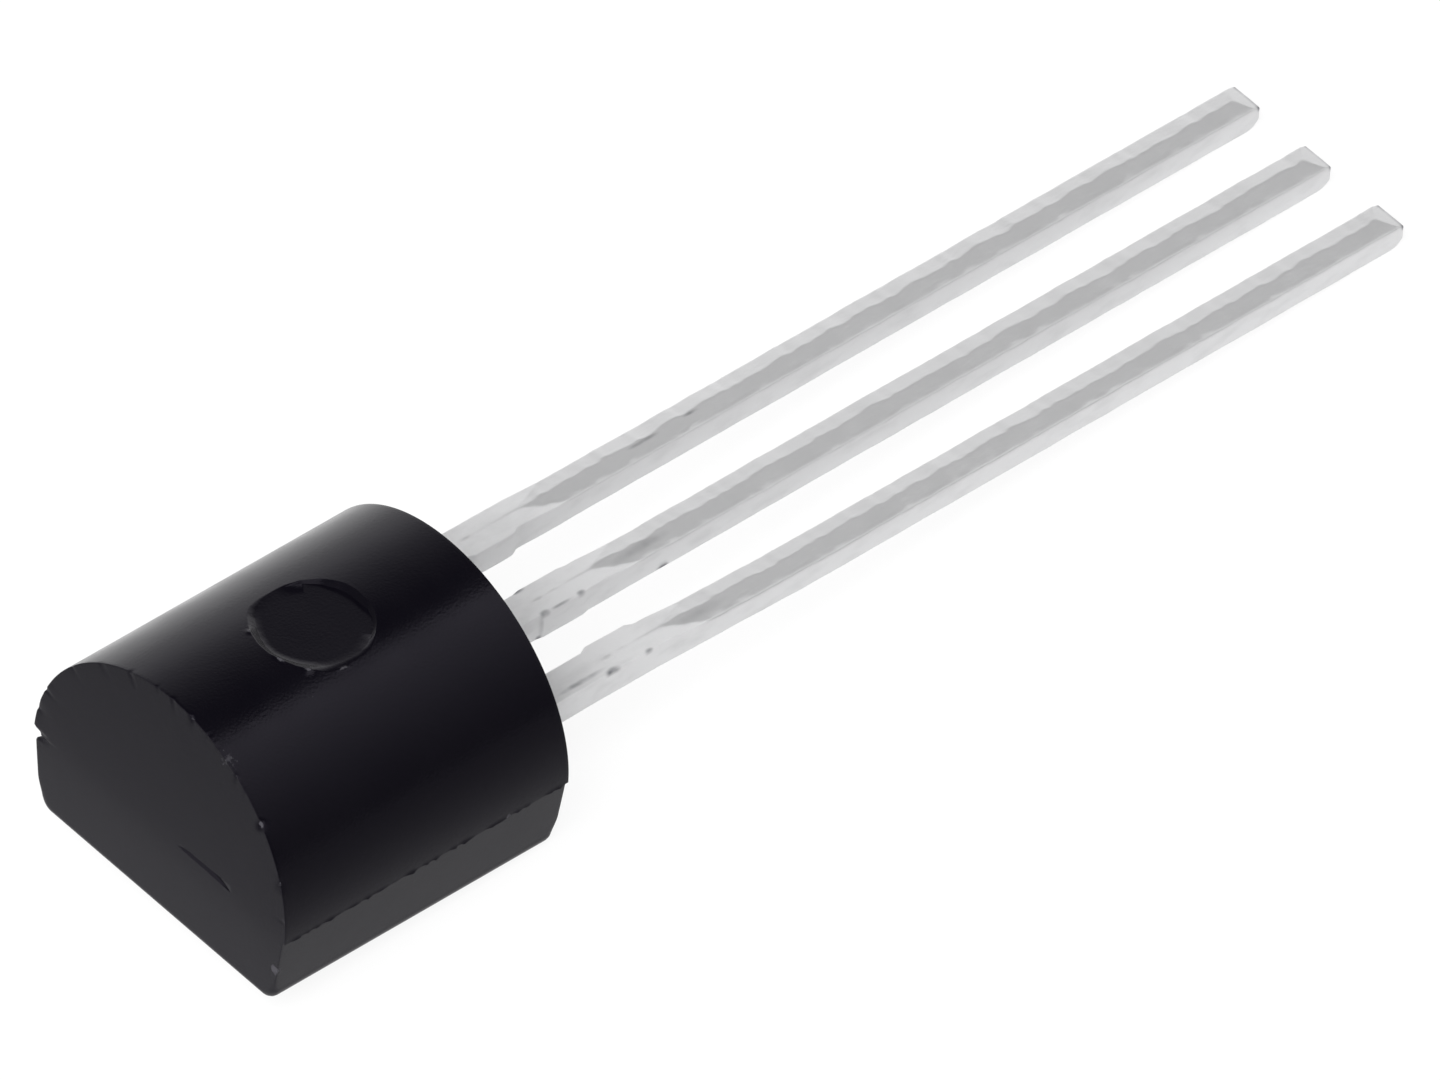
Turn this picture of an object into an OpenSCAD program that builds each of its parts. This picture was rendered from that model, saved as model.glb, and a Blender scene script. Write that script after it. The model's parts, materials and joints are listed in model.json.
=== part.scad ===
// TO-92 transistor, lying as it comes to rest: flat face down, tipped forward onto its lead tips.
//
// Every piece is drawn in the case's own axes: X runs along the leads with the case at X < 0,
// Y runs across the three leads with lead 1 at +Y, and Z rises from the flat face at Z = 0.
// laid_down() then turns the whole part about the edge that it rests on.

/* [Case] */
// Width of the case across the three leads
case_w = 4.45; // [4.3:0.05:4.8]
// Length of the case along the leads
case_l = 4.35; // [4.2:0.05:5.0]
// Height of the parting line above the flat face
parting_h = 1.12; // [0.9:0.01:1.3]
// Width of the case at the foot of its flanks, across the flat face and its rounded edges
flat_w = 4.16; // [3.9:0.02:4.3]
// Radius along the two long edges of the flat face
flat_edge_r = 0.22; // [0.05:0.01:0.4]
// How far the flat half of the mould steps in from the round half
mould_step = 0.04; // [0.01:0.01:0.08]
// Lean of the two end faces away from the parting line, in degrees
end_draft = 1.5; // [0:0.5:5]

/* [Marks of the mould] */
// Diameter of the ejector pin's mark on the round back
pin_mark_d = 1.5; // [1.0:0.05:1.6]
// Depth of the ejector pin's mark below the crown
pin_mark_depth = 0.12; // [0.05:0.01:0.2]
// Length of the gate scar on the end face away from the leads
gate_l = 0.9; // [0.4:0.05:1.4]
// Height of the gate scar
gate_h = 0.1; // [0.05:0.01:0.2]
// Depth of the gate scar
gate_depth = 0.07; // [0.02:0.01:0.15]
// Distance of the gate scar's middle from the middle of the case
gate_offset = 0.8; // [0:0.05:1.2]
// Size of the chip at the case's corner on the parting line, on lead 1's side
chip_size = 0.15; // [0.05:0.01:0.25]

/* [Leads] */
// Distance between neighbouring leads
pitch = 1.27; // [1.2:0.01:1.4]
// Length of the leads outside the case
lead_l = 13.7; // [3:0.1:16]
// Width of a lead
lead_w = 0.46; // [0.38:0.01:0.55]
// Thickness of the leadframe strip
lead_t = 0.38; // [0.3:0.01:0.45]

/* [Coined lead tops] */
// Where the coined, ridged top of a lead starts, measured from the case
coin_start = 2.2; // [2.1:0.1:2.6]
// Length of the ramp from the flat top to the coined top
coin_ramp = 0.6; // [0.2:0.1:0.9]
// How far the long edges of the coined top lie below its ridge
coin_drop = 0.05; // [0.02:0.01:0.1]
// Length of the hipped facet at a lead's tip
hip_l = 0.2; // [0.1:0.05:0.4]
// Radius under a lead's tip, rolled over by the cut
tip_r = 0.2; // [0.05:0.01:0.25]

/* [Cut tie bar] */
// Distance from the case to the stubs that the cut tie bar leaves
stub_start = 1.3; // [0.8:0.05:1.4]
// Length of the stubs, which is the width of the tie bar
stub_l = 0.7; // [0.3:0.05:0.7]
// How far a stub stands out from the inner edge of lead 1 or lead 3
stub_out = 0.05; // [0.01:0.01:0.1]
// How far a stub stands out from either edge of lead 2
centre_stub_out = 0.02; // [0.01:0.01:0.1]

/* [Leadframe inside the case] */
// Width of the die pad
pad_w = 1.9; // [1.4:0.1:2.4]
// Length of the die pad
pad_l = 1.6; // [1.2:0.1:1.8]
// Radius of the die pad's corners
pad_corner_r = 0.25; // [0.1:0.05:0.4]
// Width of the bonding posts at the inner ends of the outer leads
post_w = 0.9; // [0.7:0.05:1.0]
// Length of the bonding posts
post_l = 0.7; // [0.5:0.05:0.9]
// Gap between the bonding posts and the die pad
frame_gap = 0.3; // [0.2:0.05:0.5]
// Cover of moulding compound between the die pad and the end face
pad_cover = 0.65; // [0.4:0.05:0.9]
// Diameter of the round notches that lock the leads in the case
lock_d = 0.2; // [0.1:0.02:0.24]
// Distance of the lock notches from the case's lead end
lock_depth = 0.6; // [0.3:0.05:0.8]

/* [Die and bonds] */
// Side of the square silicon die
die_w = 0.5; // [0.3:0.05:0.7]
// Thickness of the die
die_t = 0.2; // [0.1:0.01:0.3]
// Thickness of the die attach
attach_t = 0.02; // [0.01:0.005:0.05]
// How far the die attach shows round the die
attach_rim = 0.04; // [0.02:0.01:0.1]
// Diameter of the bond wires
wire_d = 0.04; // [0.02:0.005:0.06]
// Height of a wire's loop above the line between its two bonds
loop_h = 0.4; // [0.3:0.05:0.6]
// Diameter of the ball bonds on the die
ball_d = 0.11; // [0.08:0.01:0.14]
// Height of the ball bonds and of the stitch bonds
bond_h = 0.04; // [0.03:0.005:0.05]
// Distance of a ball bond from the middle of the die, along and across the leads
ball_offset = 0.12; // [0.08:0.01:0.14]

/* [Hidden] */
$fn = 96;

case_r = case_w / 2;
case_h = parting_h + case_r;
margin = 1;

// The flat half of the case: its flanks run from the parting line in to the rounded flat edges
flank_top = case_r - mould_step;
flank_foot = flat_w / 2;
edge_y = flank_foot - flat_edge_r;
end_lean = parting_h * tan(end_draft);

// The leads lie on the parting plane
lead_top = parting_h + lead_t;
lock_x = -lock_depth;

// The leadframe inside the case, from the far end face towards the leads
pad_far = -case_l + pad_cover;
pad_near = pad_far + pad_l;
post_far = pad_near + frame_gap;
post_near = post_far + post_l;

// The die at the middle of its pad, and the two ends of a bond wire
die_x = pad_far + pad_l / 2;
attach_top = lead_top + attach_t;
die_top = attach_top + die_t;
ball_x = die_x + ball_offset;
stitch_x = post_far + post_l / 2;

// The part pivots about the flat face's lead-end edge until the rolled-over tips touch
tip_rise = parting_h + tip_r;
tip_reach = lead_l - tip_r + end_lean;
rest_tilt = acos(tip_r / norm([tip_rise, tip_reach])) - atan2(tip_reach, tip_rise);
laid_min_x = (2 * end_lean - case_l) * cos(rest_tilt);
laid_max_x = (lead_l + end_lean) * cos(rest_tilt) + (lead_top - coin_drop) * sin(rest_tilt);

// Turns the part about its resting edge and centres it over the origin
module laid_down() {
    translate([-(laid_min_x + laid_max_x) / 2, 0, 0])
        rotate([0, rest_tilt, 0])
            translate([end_lean, 0, 0])
                children();
}

// Carries an outline drawn in Y and Z along X
module along_x(from, to) {
    translate([from, 0, 0])
        rotate([90, 0, 90])
            linear_extrude(height = to - from)
                children();
}

// Carries an outline drawn in X and Z across Y
module across_y(width) {
    rotate([90, 0, 0])
        linear_extrude(height = width, center = true)
            children();
}

// Lifts an outline drawn in X and Y from one height to another
module upright(from, to) {
    translate([0, 0, from])
        linear_extrude(height = to - from)
            children();
}

// Section of the case: a half round on a flat half with leaning flanks and rounded lower edges
module case_section() {
    intersection() {
        translate([0, parting_h]) circle(r = case_r);
        translate([-case_w, parting_h]) square([2 * case_w, case_w]);
    }
    polygon([
        [-edge_y, 0],
        [edge_y, 0],
        [flank_foot, flat_edge_r],
        [flank_top, parting_h],
        [-flank_top, parting_h],
        [-flank_foot, flat_edge_r]
    ]);
    for (side = [-1, 1])
        translate([side * edge_y, flat_edge_r]) circle(r = flat_edge_r);
}

// Side view of the case: both end faces lean in from the parting line, above it and below it
module end_faces() {
    below = (parting_h + margin) * tan(end_draft);
    above = (case_r + margin) * tan(end_draft);
    polygon([
        [-case_l, parting_h],
        [-case_l + below, -margin],
        [-below, -margin],
        [0, parting_h],
        [-above, case_h + margin],
        [-case_l + above, case_h + margin]
    ]);
}

// The case as it leaves the mould, before anything is cut from it
module case_blank() {
    intersection() {
        along_x(-case_l - margin, margin) case_section();
        across_y(2 * case_w) end_faces();
    }
}

// Flat-floored round recess of the ejector pin on the crown
module pin_mark() {
    translate([-case_l / 2, 0, case_h - pin_mark_depth])
        cylinder(d = pin_mark_d, h = pin_mark_depth + margin);
}

// Shallow scar where the gate broke off, just above the parting line
module gate_scar() {
    translate([-case_l - margin, -gate_offset - gate_l / 2, parting_h])
        cube([margin + gate_depth, gate_l, gate_h]);
}

// Chip out of the corner where the parting line meets the end face
module corner_chip() {
    translate([-case_l, case_r, parting_h])
        rotate([45, 0, -45])
            cube([3 * chip_size, chip_size, chip_size], center = true);
}

module moulded_case() {
    color([0.10, 0.10, 0.11])
        difference() {
            case_blank();
            pin_mark();
            gate_scar();
            corner_chip();
            outer_lead(1);
            outer_lead(-1);
            centre_lead();
            die();
            attach();
            wire(1);
            wire(-1);
        }
}

// Plan of the straight part of a lead, with the stubs of the cut tie bar towards -Y and +Y
module lead_plan(inner_end, out_minus, out_plus) {
    translate([inner_end, -lead_w / 2]) square([lead_l - inner_end, lead_w]);
    translate([stub_start, -lead_w / 2 - out_minus]) square([stub_l, lead_w + out_minus + out_plus]);
}

// Plan of the round notches that lock a lead in the case
module lock_notches() {
    for (side = [-1, 1])
        translate([lock_x, side * lead_w / 2]) circle(d = lock_d);
}

// Rectangle with round corners, made of squares and circles
module rounded_plate(length, width, r) {
    translate([0, -width / 2 + r]) square([length, width - 2 * r]);
    translate([r, -width / 2]) square([length - 2 * r, width]);
    for (x = [r, length - r], y = [r - width / 2, width / 2 - r])
        translate([x, y]) circle(r = r);
}

// What the coining punch presses down on both sides of a lead's ridge
module coined_away() {
    slope = coin_drop / (lead_w / 2);
    ramp = coin_drop / coin_ramp;
    intersection() {
        along_x(0, lead_l + margin)
            polygon([
                [0, lead_top],
                [margin, lead_top - margin * slope],
                [margin, lead_top + margin],
                [-margin, lead_top + margin],
                [-margin, lead_top - margin * slope]
            ]);
        across_y(2 * margin)
            polygon([
                [coin_start, lead_top],
                [coin_start + 2 * coin_ramp, lead_top - 2 * coin_ramp * ramp],
                [lead_l + margin, lead_top - 2 * coin_drop],
                [lead_l + margin, lead_top + margin],
                [coin_start, lead_top + margin]
            ]);
    }
}

// The hipped facet above a tip and the rolled-over edge below it
module trimmed_tip() {
    fall = coin_drop / hip_l;
    across_y(2 * margin) {
        polygon([
            [lead_l - hip_l, lead_top],
            [lead_l + margin, lead_top - (hip_l + margin) * fall],
            [lead_l + margin, lead_top + margin],
            [lead_l - hip_l, lead_top + margin]
        ]);
        difference() {
            translate([lead_l - tip_r, parting_h - margin]) square([tip_r + margin, tip_r + margin]);
            translate([lead_l - tip_r, parting_h + tip_r]) circle(r = tip_r);
        }
    }
}

// Lead 1 on side 1 or lead 3 on side -1: a bonding post in the case and a straight leg outside it
module outer_lead(side) {
    translate([0, side * pitch, 0])
        difference() {
            upright(parting_h, lead_top)
                difference() {
                    union() {
                        lead_plan(post_near, max(0, side) * stub_out, max(0, -side) * stub_out);
                        translate([post_far, 0])
                            rounded_plate(post_l, post_w, pad_corner_r / 2);
                    }
                    lock_notches();
                }
            coined_away();
            trimmed_tip();
        }
}

// Lead 2, in one piece with the pad that carries the die
module centre_lead() {
    difference() {
        upright(parting_h, lead_top)
            difference() {
                union() {
                    lead_plan(pad_near, centre_stub_out, centre_stub_out);
                    translate([pad_far, 0]) rounded_plate(pad_l, pad_w, pad_corner_r);
                }
                lock_notches();
            }
        coined_away();
        trimmed_tip();
    }
}

// The die attach, a thin square layer on the pad
module attach() {
    side = die_w + 2 * attach_rim;
    translate([die_x, 0, lead_top + attach_t / 2])
        cube([side, side, attach_t], center = true);
}

// The silicon die on its attach
module die() {
    translate([die_x, 0, attach_top + die_t / 2])
        cube([die_w, die_w, die_t], center = true);
}

// A bond wire: ball on the die, arched loop, stitch on the post of the lead on the given side
module wire(side) {
    ball = [ball_x, side * ball_offset, die_top];
    stitch = [stitch_x, side * pitch, lead_top];
    run = norm([stitch.x - ball.x, stitch.y - ball.y]);
    heading = atan2(stitch.y - ball.y, stitch.x - ball.x);
    fall = ball.z - stitch.z;
    chord = norm([run, fall]);
    arc_r = (chord * chord / 4 + loop_h * loop_h) / (2 * loop_h);
    half_angle = asin(chord / 2 / arc_r);
    dip = atan2(fall, run);
    translate(ball) cylinder(d = ball_d, h = bond_h);
    translate(stitch) cylinder(d = ball_d, h = bond_h);
    translate([ball.x, ball.y, ball.z + bond_h / 2])
        rotate([0, 0, heading])
            rotate([0, dip, 0])
                translate([chord / 2, 0, loop_h - arc_r])
                    rotate([90, 0, 0])
                        rotate([0, 0, 90 - half_angle])
                            rotate_extrude(angle = 2 * half_angle)
                                translate([arc_r, 0]) circle(d = wire_d);
}

module lead_1() {
    color([0.80, 0.80, 0.83]) outer_lead(1);
}

module lead_2() {
    color([0.80, 0.80, 0.83]) centre_lead();
}

module lead_3() {
    color([0.80, 0.80, 0.83]) outer_lead(-1);
}

module silicon_die() {
    color([0.35, 0.37, 0.42]) die();
}

module die_attach() {
    color([0.70, 0.70, 0.68]) attach();
}

module bond_wire_1() {
    color([0.90, 0.75, 0.30]) wire(1);
}

module bond_wire_3() {
    color([0.90, 0.75, 0.30]) wire(-1);
}

laid_down() {
    moulded_case();
    lead_1();
    lead_2();
    lead_3();
    silicon_die();
    die_attach();
    bond_wire_1();
    bond_wire_3();
}
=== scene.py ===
"""Looks of a TO-92 transistor that lies on the lead end of its flat face and its three lead tips.

Sizes are in millimetres, in the package's own axes: X runs along the leads with the case at X < 0,
Y runs across the leads with lead 1 at +Y, and Z rises from the flat face. Placement turns them into
the frame's axes, in metres. A noise is given by the width of its lattice's cells and its seed.
"""

import json
import logging
import math
from dataclasses import dataclass
from enum import Enum

import bpy
import numpy as np
from mathutils import Matrix, Vector


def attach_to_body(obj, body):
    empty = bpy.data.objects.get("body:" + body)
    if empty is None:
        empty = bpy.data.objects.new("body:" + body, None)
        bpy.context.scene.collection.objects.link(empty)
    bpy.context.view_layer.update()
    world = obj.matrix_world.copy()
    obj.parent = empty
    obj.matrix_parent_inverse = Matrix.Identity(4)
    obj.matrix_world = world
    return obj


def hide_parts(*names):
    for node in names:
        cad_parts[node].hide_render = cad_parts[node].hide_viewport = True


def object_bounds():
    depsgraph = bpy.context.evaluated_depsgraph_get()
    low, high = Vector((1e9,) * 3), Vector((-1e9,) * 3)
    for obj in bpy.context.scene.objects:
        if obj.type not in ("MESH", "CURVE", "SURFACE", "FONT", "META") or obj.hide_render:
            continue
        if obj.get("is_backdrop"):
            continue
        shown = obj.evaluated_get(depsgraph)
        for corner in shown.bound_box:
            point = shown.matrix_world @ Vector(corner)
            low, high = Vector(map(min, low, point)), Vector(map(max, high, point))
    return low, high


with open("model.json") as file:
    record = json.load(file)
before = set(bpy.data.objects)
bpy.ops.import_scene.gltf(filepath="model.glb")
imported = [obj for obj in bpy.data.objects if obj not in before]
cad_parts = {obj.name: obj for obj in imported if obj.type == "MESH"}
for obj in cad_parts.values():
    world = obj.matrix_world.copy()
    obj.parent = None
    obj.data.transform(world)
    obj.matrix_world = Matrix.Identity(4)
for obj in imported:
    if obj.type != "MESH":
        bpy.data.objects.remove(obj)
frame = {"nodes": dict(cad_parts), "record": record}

MM = 0.001
LATTICE = 64
CASE_L = 4.35
PARTING_H = 1.12

log = logging.getLogger("transistor")


def linear(colour: str) -> tuple[float, float, float, float]:
    """Turns an sRGB hex colour into linear RGBA.

    Each channel c up to 0.04045 is c / 12.92, and above that ((c + 0.055) / 1.055) to the power 2.4.

    Args:
        colour: Six hex digits after a hash sign.

    Returns:
        Red, green, blue and an alpha of 1.
    """
    c = np.array([int(colour[i:i + 2], 16) for i in (1, 3, 5)]) / 255
    rgb = np.where(c <= 0.04045, c / 12.92, ((c + 0.055) / 1.055) ** 2.4)
    return (*rgb.tolist(), 1.0)


def add_node(tree: bpy.types.NodeTree, kind: str, settings: dict | None = None,
             links: dict | None = None) -> bpy.types.Node:
    """Adds a node with its settings and links.

    Args:
        tree: The node tree that the node goes into.
        kind: The node's class name, without the ShaderNode at its front.
        settings: Values by name, for a property of the node or, failing that, for one of its inputs.
        links: Output sockets by the name or number of the input that each one feeds.

    Returns:
        The new node.
    """
    node = tree.nodes.new("ShaderNode" + kind)
    for key, value in (settings or {}).items():
        if isinstance(key, str) and hasattr(node, key):
            setattr(node, key, value)
        else:
            node.inputs[key].default_value = value
    for key, socket in (links or {}).items():
        tree.links.new(socket, node.inputs[key])
    return node


def start_nodes(owner: bpy.types.Material | bpy.types.World) -> bpy.types.NodeTree:
    """Gives a material or a world an empty node tree.

    Args:
        owner: The material or the world.

    Returns:
        Its node tree.
    """
    owner.use_nodes = True
    owner.node_tree.nodes.clear()
    return owner.node_tree


def per_metre(feature_mm: float) -> float:
    """Gives the texture scale at which a pattern's features are this many millimetres wide."""
    return 1 / (feature_mm * MM)


def lattice_noise(points: np.ndarray, size: float, seed: int) -> np.ndarray:
    """Works out smooth noise from -1 to 1 at each point.

    Random values on a cubic lattice, which repeats after LATTICE cells, are blended over each cell
    with the weights 3 t^2 - 2 t^3 along each axis.

    Args:
        points: Places, in an array whose last axis is X, Y and Z.
        size: Width of a lattice cell, in the points' own unit.
        seed: Seed of the lattice's random values.

    Returns:
        One value for each point.
    """
    table = np.random.default_rng(seed).uniform(-1, 1, (LATTICE,) * 3)
    cell = np.floor(points / size).astype(int)
    t = points / size - cell
    weight = t * t * (3 - 2 * t)
    total = np.zeros(points.shape[:-1])
    for corner in np.ndindex(2, 2, 2):
        at = (cell + corner) % LATTICE
        share = np.where(corner, weight, 1 - weight).prod(axis=-1)
        total += share * table[at[..., 0], at[..., 1], at[..., 2]]
    return total


def falloff(distance: np.ndarray, reach: float) -> np.ndarray:
    """Falls smoothly from 1 at no distance to 0 at the reach: (1 - (d / reach)^2)^2."""
    return np.clip(1 - (distance / reach) ** 2, 0, 1) ** 2


def loft_quads(rows: int, columns: int, first: int = 0) -> np.ndarray:
    """Joins each ring of a loft to the next one.

    Args:
        rows: Number of rings.
        columns: Number of points in a ring, which closes on itself.
        first: Index of the first ring's first point.

    Returns:
        Point indices, in an array of rings less one, by columns, by 4.
    """
    row, column = np.meshgrid(np.arange(rows - 1), np.arange(columns), indexing="ij")
    after = (column + 1) % columns
    here, there = first + row * columns, first + (row + 1) * columns
    return np.stack([here + column, here + after, there + after, there + column], axis=-1)


def fan(ring: np.ndarray, pole: int) -> np.ndarray:
    """Closes a ring of point indices onto a pole: each triangle runs along it, then to the pole."""
    return np.stack([ring, np.roll(ring, -1), np.full_like(ring, pole)], axis=-1)


def mesh_piece(name: str, points: np.ndarray, faces: list[np.ndarray], finish: bpy.types.Material,
               marks: dict[str, np.ndarray], sharp_deg: float) -> bpy.types.Object:
    """Makes a piece from its points and faces, with its place in its mesh.

    Args:
        name: The piece's name.
        points: Places in the frame, in metres, one row each.
        faces: Arrays of point indices, three or four to a face.
        finish: The piece's material.
        marks: What the finish reads from the surface, by name, from 0 to 1 at each point.
        sharp_deg: Edges that turn by more than this are shaded sharp.

    Returns:
        The new object, linked to the scene.
    """
    mesh = bpy.data.meshes.new(name)
    mesh.from_pydata(points.tolist(), [], [face for block in faces for face in block.tolist()])
    for mark, values in marks.items():
        mesh.attributes.new(mark, "FLOAT", "POINT").data.foreach_set("value", values.astype(np.float32))
    mesh.materials.append(finish)
    mesh.shade_smooth()
    mesh.set_sharp_from_angle(angle=math.radians(sharp_deg))
    piece = bpy.data.objects.new(name, mesh)
    bpy.context.scene.collection.objects.link(piece)
    return piece


@dataclass(frozen=True)
class Placement:
    """How the part lies: a turn about Y, and where one point of the package comes to."""

    tilt: float
    package_point: tuple[float, float, float]
    frame_point: tuple[float, float, float]

    @classmethod
    def of_flat_face(cls, record: dict, case_l: float) -> "Placement":
        """Reads the lie from the mount at the middle of the flat face.

        Args:
            record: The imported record.
            case_l: Length of the case along the leads.

        Returns:
            The placement, whose tilt comes from the mount's axis, square to the flat face.
        """
        mount = next(m for m in record["mounts"] if m["name"] == "flat_front")
        down = mount["axis"]
        return cls(math.atan2(-down[0], -down[2]), (-case_l / 2, 0, 0), tuple(mount["pos_m"]))

    def to_frame(self, points: np.ndarray) -> np.ndarray:
        """Turns places in the package's axes, in millimetres, into the frame's, in metres.

        Args:
            points: Places, in an array whose last axis is X, Y and Z.

        Returns:
            The same places as rows of three: x cos t + z sin t, y, and z cos t - x sin t.
        """
        x, y, z = np.moveaxis(points - np.array(self.package_point), -1, 0)
        c, s = math.cos(self.tilt), math.sin(self.tilt)
        turned = np.stack([x * c + z * s, y, z * c - x * s], axis=-1)
        return (turned * MM + np.array(self.frame_point)).reshape(-1, 3)


@dataclass(frozen=True)
class MouldedEpoxy:
    """Black epoxy moulding compound, filled with ground silica and moulded in a spark-eroded tool.

    The tool gives it a satin skin of fine even grain, so it shows soft reflections, and where it has
    chipped the filler shows paler. That pale tone also paints a highlight on the barrel and the
    glints round the pin's mark.
    """

    resin: str = "#07060B"
    # Pale tone of chipped filler; it also paints a highlight on the barrel and the glints on the pin mark's
    # burrs.
    chip_and_highlight_tone: str = "#3C3B3F"
    tint: str = "#F2ECFF"
    roughness: tuple[float, float] = (0.17, 0.24)
    ior: float = 1.50
    gloss: float = 0.29
    grain_mm: float = 0.035
    grain_depth_mm: float = 0.0020
    wave_mm: float = 0.7
    wave_depth_mm: float = 0.003
    wave_span: tuple[float, float] = (0.35, 0.65)
    crumb_mm: float = 0.05
    pale_span: tuple[float, float] = (0.90, 1.20)

    def make(self) -> bpy.types.Material:
        """Builds the material, whose skin turns pale where the pale mark plus the crumbs pass a limit: at
        chips, and at painted highlights and glints.

        Returns:
            The material.
        """
        material = bpy.data.materials.new("moulded_epoxy")
        tree = start_nodes(material)
        place = add_node(tree, "TexCoord").outputs["Object"]
        grain, wave, crumb = (
            add_node(tree, "TexNoise", {"Scale": per_metre(size), "Detail": detail},
                     {"Vector": place}).outputs["Fac"]
            for size, detail in ((self.grain_mm, 3.0), (self.wave_mm, 2.0), (self.crumb_mm, 2.0))
        )
        # The pale mark paints the chipped filler, and also painted highlights and glints on the barrel and
        # the burrs.
        wear_and_light_mark = add_node(tree, "Attribute", {"attribute_name": "wear_and_light_mark"}).outputs["Fac"]
        raised = add_node(tree, "Math", {"operation": "ADD"}, {0: wear_and_light_mark, 1: crumb}).outputs[0]
        pale = add_node(tree, "MapRange", {"From Min": self.pale_span[0], "From Max": self.pale_span[1]},
                        {"Value": raised}).outputs[0]
        colour = add_node(tree, "Mix", {"data_type": "RGBA", 6: linear(self.resin), 7: linear(self.chip_and_highlight_tone)},
                          {0: pale}).outputs[2]
        sheen = add_node(tree, "MapRange", {"From Min": self.wave_span[0], "From Max": self.wave_span[1],
                                            "To Min": self.roughness[0], "To Max": self.roughness[1]},
                         {"Value": wave}).outputs[0]
        dull = add_node(tree, "Math", {"operation": "MAXIMUM"}, {0: sheen, 1: pale}).outputs[0]
        waves = add_node(tree, "Bump", {"Distance": self.wave_depth_mm * MM},
                         {"Height": wave}).outputs["Normal"]
        relief = add_node(tree, "Bump", {"Distance": self.grain_depth_mm * MM},
                          {"Height": grain, "Normal": waves}).outputs["Normal"]
        surface = add_node(tree, "BsdfPrincipled", {"IOR": self.ior, "Specular IOR Level": self.gloss,
                                                    "Specular Tint": linear(self.tint)},
                           {"Base Color": colour, "Roughness": dull, "Normal": relief})
        add_node(tree, "OutputMaterial", {}, {"Surface": surface.outputs[0]})
        return material


@dataclass(frozen=True)
class MatteTin:
    """Matte tin, electroplated over a stamped copper-alloy strip.

    It is a bright grey metal whose fine dull crystals scatter light as a white paint does, drawn out
    a little along the lead. Where the coining die has pressed it, it is smoother and more of a mirror.
    """

    plated: str = "#EDEDEE"
    thin: str = "#E0E0E1"
    pressed: str = "#EBEBEC"
    # Dark tone of bruises; it also paints shade along the leads' ridges, edges and steps.
    bruise_and_shade: str = "#77777D"
    metallic: tuple[float, float] = (0.64, 0.80)
    roughness: tuple[float, float] = (0.60, 0.42)
    grain_mm: float = 0.04
    grain_depth_mm: float = 0.003
    patch_mm: float = 0.25
    patch_span: tuple[float, float] = (0.50, 0.80)
    drawn_out: float = 0.45

    def make(self) -> bpy.types.Material:
        """Builds the material, which mixes from plated to pressed by the pressed mark.

        Returns:
            The material.
        """
        material = bpy.data.materials.new("matte_tin_plate")
        tree = start_nodes(material)
        place = add_node(tree, "TexCoord").outputs["Object"]
        along = add_node(tree, "Mapping", {"Scale": (self.drawn_out, 1, 1)}, {"Vector": place}).outputs[0]
        grain, patch = (
            add_node(tree, "TexNoise", {"Scale": per_metre(size), "Detail": detail},
                     {"Vector": along}).outputs["Fac"]
            for size, detail in ((self.grain_mm, 3.0), (self.patch_mm, 5.0))
        )
        wear_and_light_mark, pressed = (
            add_node(tree, "Attribute", {"attribute_name": mark}).outputs["Fac"]
            for mark in ("wear_and_light_mark", "pressed")
        )
        share = add_node(tree, "MapRange", {"From Min": self.patch_span[0], "From Max": self.patch_span[1]},
                         {"Value": patch}).outputs[0]
        colour = add_node(tree, "Mix", {"data_type": "RGBA", 6: linear(self.plated), 7: linear(self.thin)},
                          {0: share}).outputs[2]
        # The dark mark adds bruises and painted shade.
        for tone, mark in ((self.pressed, pressed), (self.bruise_and_shade, wear_and_light_mark)):
            colour = add_node(tree, "Mix", {"data_type": "RGBA", 7: linear(tone)},
                              {0: mark, 6: colour}).outputs[2]
        metal, dull = (
            add_node(tree, "MapRange", {"To Min": plain, "To Max": coined}, {"Value": pressed}).outputs[0]
            for plain, coined in (self.metallic, self.roughness)
        )
        relief = add_node(tree, "Bump", {"Distance": self.grain_depth_mm * MM},
                          {"Height": grain}).outputs["Normal"]
        surface = add_node(tree, "BsdfPrincipled", {}, {"Base Color": colour, "Metallic": metal,
                                                        "Roughness": dull, "Normal": relief})
        add_node(tree, "OutputMaterial", {}, {"Surface": surface.outputs[0]})
        return material


@dataclass(frozen=True)
class InnerFinish:
    """Finish of a piece sealed in the case: two tones of one material in fine patches."""

    name: str
    tones: tuple[str, str]
    metallic: float
    roughness: float
    patch_mm: float

    def make(self) -> bpy.types.Material:
        """Builds the material.

        Returns:
            The material, whose relief is a twentieth of its patches' width deep.
        """
        material = bpy.data.materials.new(self.name)
        tree = start_nodes(material)
        place = add_node(tree, "TexCoord").outputs["Object"]
        patch = add_node(tree, "TexNoise", {"Scale": per_metre(self.patch_mm), "Detail": 3.0},
                         {"Vector": place}).outputs["Fac"]
        first, second = (linear(tone) for tone in self.tones)
        colour = add_node(tree, "Mix", {"data_type": "RGBA", 6: first, 7: second}, {0: patch}).outputs[2]
        relief = add_node(tree, "Bump", {"Distance": self.patch_mm * MM / 20},
                          {"Height": patch}).outputs["Normal"]
        surface = add_node(tree, "BsdfPrincipled", {"Metallic": self.metallic, "Roughness": self.roughness},
                           {"Base Color": colour, "Normal": relief})
        add_node(tree, "OutputMaterial", {}, {"Surface": surface.outputs[0]})
        return material


@dataclass(frozen=True)
class EdgeChip:
    """A flake chipped out of the rim of the end face, at an angle round from lead 1's side."""

    angle_deg: float
    width: float
    depth: float


@dataclass(frozen=True)
class PaleSpot:
    """A small pale spot on the case's skin: its middle, its reach and how pale it is. One paints a
    highlight.
    """

    place: tuple[float, float, float]
    reach: float
    wear_and_light: float


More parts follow.
